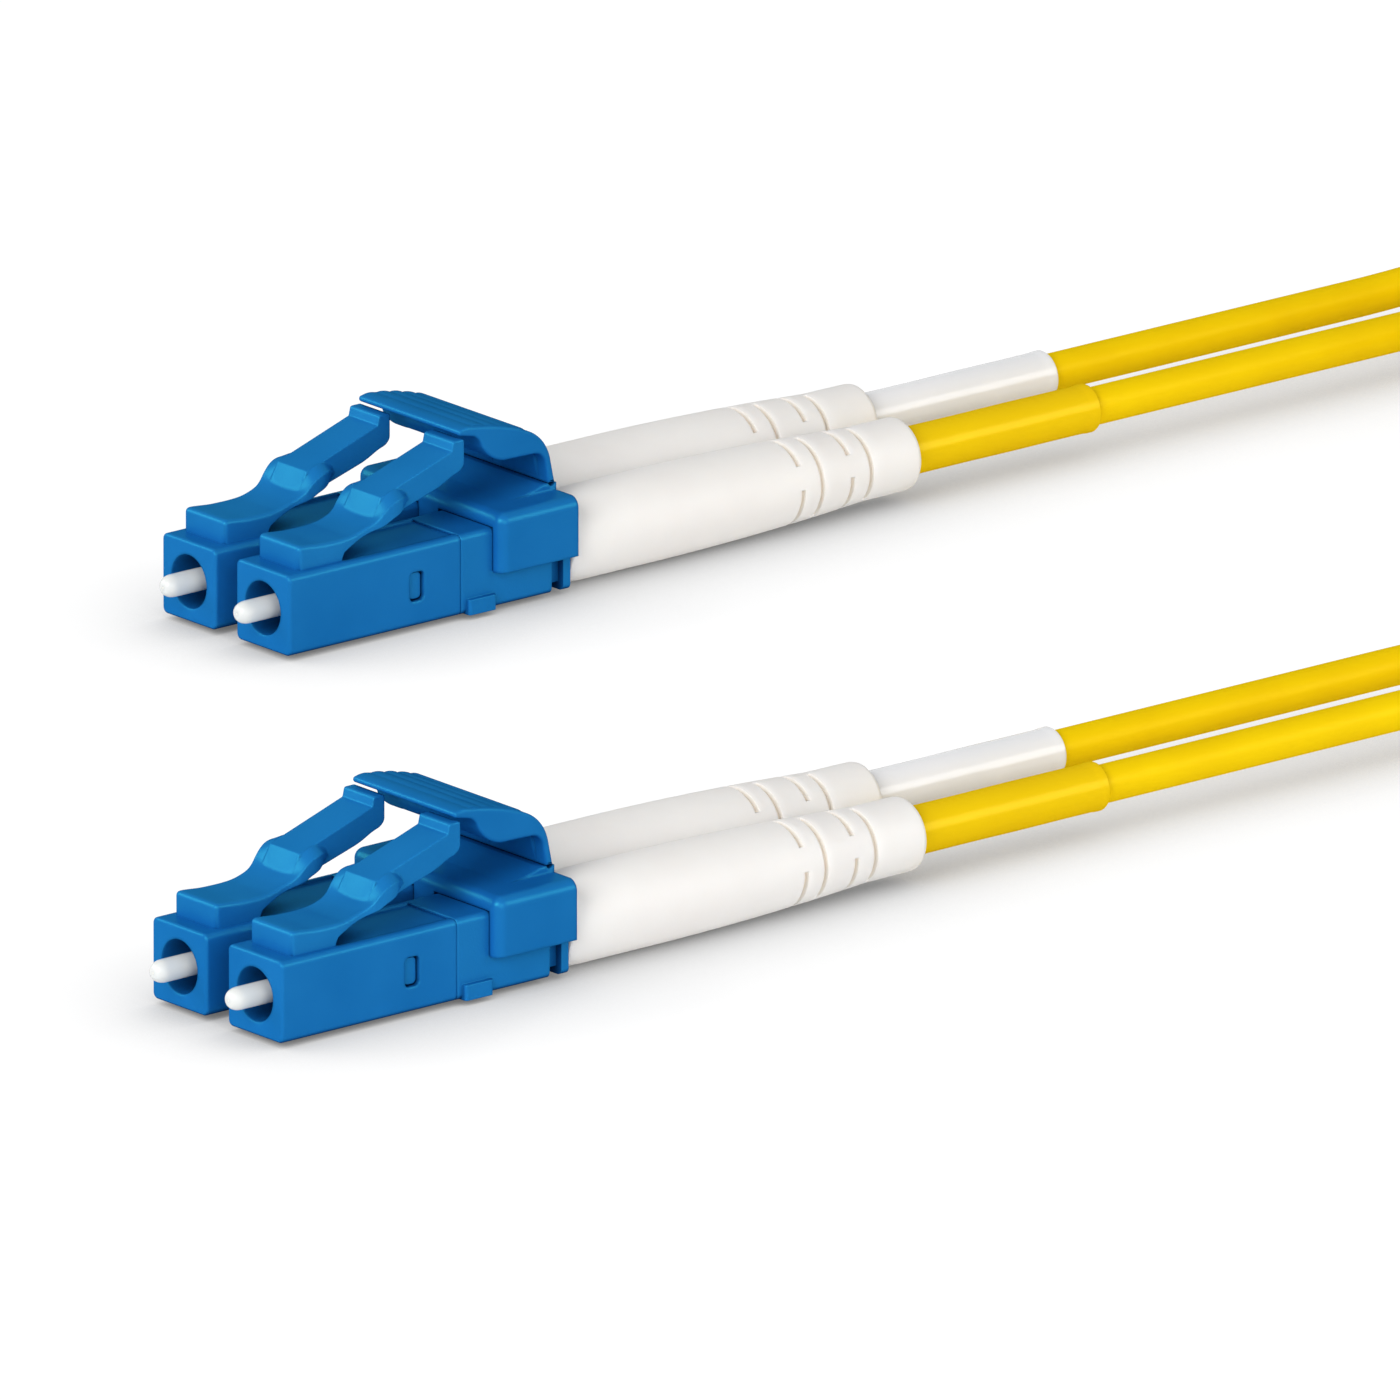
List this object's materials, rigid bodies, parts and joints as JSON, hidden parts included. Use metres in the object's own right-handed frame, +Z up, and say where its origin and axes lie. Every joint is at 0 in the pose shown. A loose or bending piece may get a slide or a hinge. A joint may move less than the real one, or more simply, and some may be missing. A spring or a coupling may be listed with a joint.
{
  "type": "fiber optic patch cord",
  "caption": "Duplex fiber patch cord: latching blue plugs with thumb triggers, white boots and marker sleeves on a coiled yellow cord",
  "frame": {"origin": "bottom centre of the two plug ends and their sleeves, on the surface the cord lies on", "axes": "+X along the plugs from their front faces towards the cord, +Y across the plugs, +Z up"},
  "size_m": [0.1829, 0.0652, 0.0122],
  "materials": {
    "blue_plastic": "semi-gloss moulded",
    "white_ceramic": "polished zirconia ceramic",
    "plated_metal": "turned and nickel plated",
    "crimp_metal": "drawn, satin",
    "spring_steel": "drawn wire",
    "clear_plastic": "natural, extruded",
    "fiber_buffer": "extruded",
    "white_boot": "satin moulded elastomer",
    "yellow_sleeve": "gloss extruded",
    "white_sleeve": "gloss extruded",
    "yellow_jacket": "satin extruded jacket",
    "tie_plastic": "natural nylon"
  },
  "bodies": {
    "patch_cord": {"front_housing_a1": "blue_plastic", "rear_housing_a1": "blue_plastic", "ferrule_spring_a1": "spring_steel", "backpost_a1": "plated_metal", "crimp_sleeve_a1": "crimp_metal", "boot_a1": "white_boot", "marker_sleeve_a1": "yellow_sleeve", "front_housing_a2": "blue_plastic", "rear_housing_a2": "blue_plastic", "ferrule_spring_a2": "spring_steel", "backpost_a2": "plated_metal", "crimp_sleeve_a2": "crimp_metal", "boot_a2": "white_boot", "marker_sleeve_a2": "white_sleeve", "front_housing_b1": "blue_plastic", "rear_housing_b1": "blue_plastic", "ferrule_spring_b1": "spring_steel", "backpost_b1": "plated_metal", "crimp_sleeve_b1": "crimp_metal", "boot_b1": "white_boot", "marker_sleeve_b1": "yellow_sleeve", "front_housing_b2": "blue_plastic", "rear_housing_b2": "blue_plastic", "ferrule_spring_b2": "spring_steel", "backpost_b2": "plated_metal", "crimp_sleeve_b2": "crimp_metal", "boot_b2": "white_boot", "marker_sleeve_b2": "white_sleeve", "duplex_clip_a": "blue_plastic", "duplex_clip_b": "blue_plastic", "strand_leg_a1": "yellow_jacket", "strand_leg_a2": "yellow_jacket", "strand_leg_b1": "yellow_jacket", "strand_leg_b2": "yellow_jacket", "zip_lead": "yellow_jacket", "cord_coil": "yellow_jacket", "coil_ties": "tie_plastic"},
    "ferrule_group_a1": {"ferrule_a1": "white_ceramic", "ferrule_flange_a1": "plated_metal", "guide_tube_a1": "clear_plastic", "buffered_fiber_a1": "fiber_buffer"},
    "ferrule_group_a2": {"ferrule_a2": "white_ceramic", "ferrule_flange_a2": "plated_metal", "guide_tube_a2": "clear_plastic", "buffered_fiber_a2": "fiber_buffer"},
    "ferrule_group_b1": {"ferrule_b1": "white_ceramic", "ferrule_flange_b1": "plated_metal", "guide_tube_b1": "clear_plastic", "buffered_fiber_b1": "fiber_buffer"},
    "ferrule_group_b2": {"ferrule_b2": "white_ceramic", "ferrule_flange_b2": "plated_metal", "guide_tube_b2": "clear_plastic", "buffered_fiber_b2": "fiber_buffer"},
    "trigger_a": {"trigger_a": "blue_plastic"},
    "trigger_b": {"trigger_b": "blue_plastic"},
    "latch_lever_a1": {"latch_lever_a1": "blue_plastic"},
    "latch_lever_a2": {"latch_lever_a2": "blue_plastic"},
    "latch_lever_b1": {"latch_lever_b1": "blue_plastic"},
    "latch_lever_b2": {"latch_lever_b2": "blue_plastic"}
  },
  "joints": [
    {"name": "ferrule_slide_a1", "type": "slide", "parent": "patch_cord", "child": "ferrule_group_a1", "axis": [1, 0, 0], "range_m": [0, 0.0012], "stiffness_N_per_m": 60, "deforming": ["ferrule_spring_a1"]},
    {"name": "ferrule_slide_a2", "type": "slide", "parent": "patch_cord", "child": "ferrule_group_a2", "axis": [1, 0, 0], "range_m": [0, 0.0012], "stiffness_N_per_m": 60, "deforming": ["ferrule_spring_a2"]},
    {"name": "ferrule_slide_b1", "type": "slide", "parent": "patch_cord", "child": "ferrule_group_b1", "axis": [1, 0, 0], "range_m": [0, 0.0012], "stiffness_N_per_m": 60, "deforming": ["ferrule_spring_b1"]},
    {"name": "ferrule_slide_b2", "type": "slide", "parent": "patch_cord", "child": "ferrule_group_b2", "axis": [1, 0, 0], "range_m": [0, 0.0012], "stiffness_N_per_m": 60, "deforming": ["ferrule_spring_b2"]},
    {"name": "trigger_press_a", "type": "hinge", "parent": "patch_cord", "child": "trigger_a", "pos_m": [0.01215, 0.0265, 0.00615], "axis": [0, -1, 0], "range_deg": [0, 11], "stiffness_Nm_per_rad": 0.01},
    {"name": "trigger_press_b", "type": "hinge", "parent": "patch_cord", "child": "trigger_b", "pos_m": [-0.03185, -0.0265, 0.00615], "axis": [0, -1, 0], "range_deg": [0, 11], "stiffness_Nm_per_rad": 0.01},
    {"name": "latch_press_a1", "type": "hinge", "parent": "patch_cord", "child": "latch_lever_a1", "pos_m": [-0.00225, 0.02337, 0.00562], "axis": [0, 1, 0], "range_deg": [0, 8.6], "stiffness_Nm_per_rad": 0.01},
    {"name": "latch_press_a2", "type": "hinge", "parent": "patch_cord", "child": "latch_lever_a2", "pos_m": [-0.00225, 0.02962, 0.00562], "axis": [0, 1, 0], "range_deg": [0, 8.6], "stiffness_Nm_per_rad": 0.01},
    {"name": "latch_press_b1", "type": "hinge", "parent": "patch_cord", "child": "latch_lever_b1", "pos_m": [-0.04625, -0.02962, 0.00562], "axis": [0, 1, 0], "range_deg": [0, 8.6], "stiffness_Nm_per_rad": 0.01},
    {"name": "latch_press_b2", "type": "hinge", "parent": "patch_cord", "child": "latch_lever_b2", "pos_m": [-0.04625, -0.02337, 0.00562], "axis": [0, 1, 0], "range_deg": [0, 8.6], "stiffness_Nm_per_rad": 0.01}
  ],
  "couplings": [
    {"joint": "latch_press_a1", "follows": "trigger_press_a", "ratio": 0.78},
    {"joint": "latch_press_a2", "follows": "trigger_press_a", "ratio": 0.78},
    {"joint": "latch_press_b1", "follows": "trigger_press_b", "ratio": 0.78},
    {"joint": "latch_press_b2", "follows": "trigger_press_b", "ratio": 0.78}
  ]
}
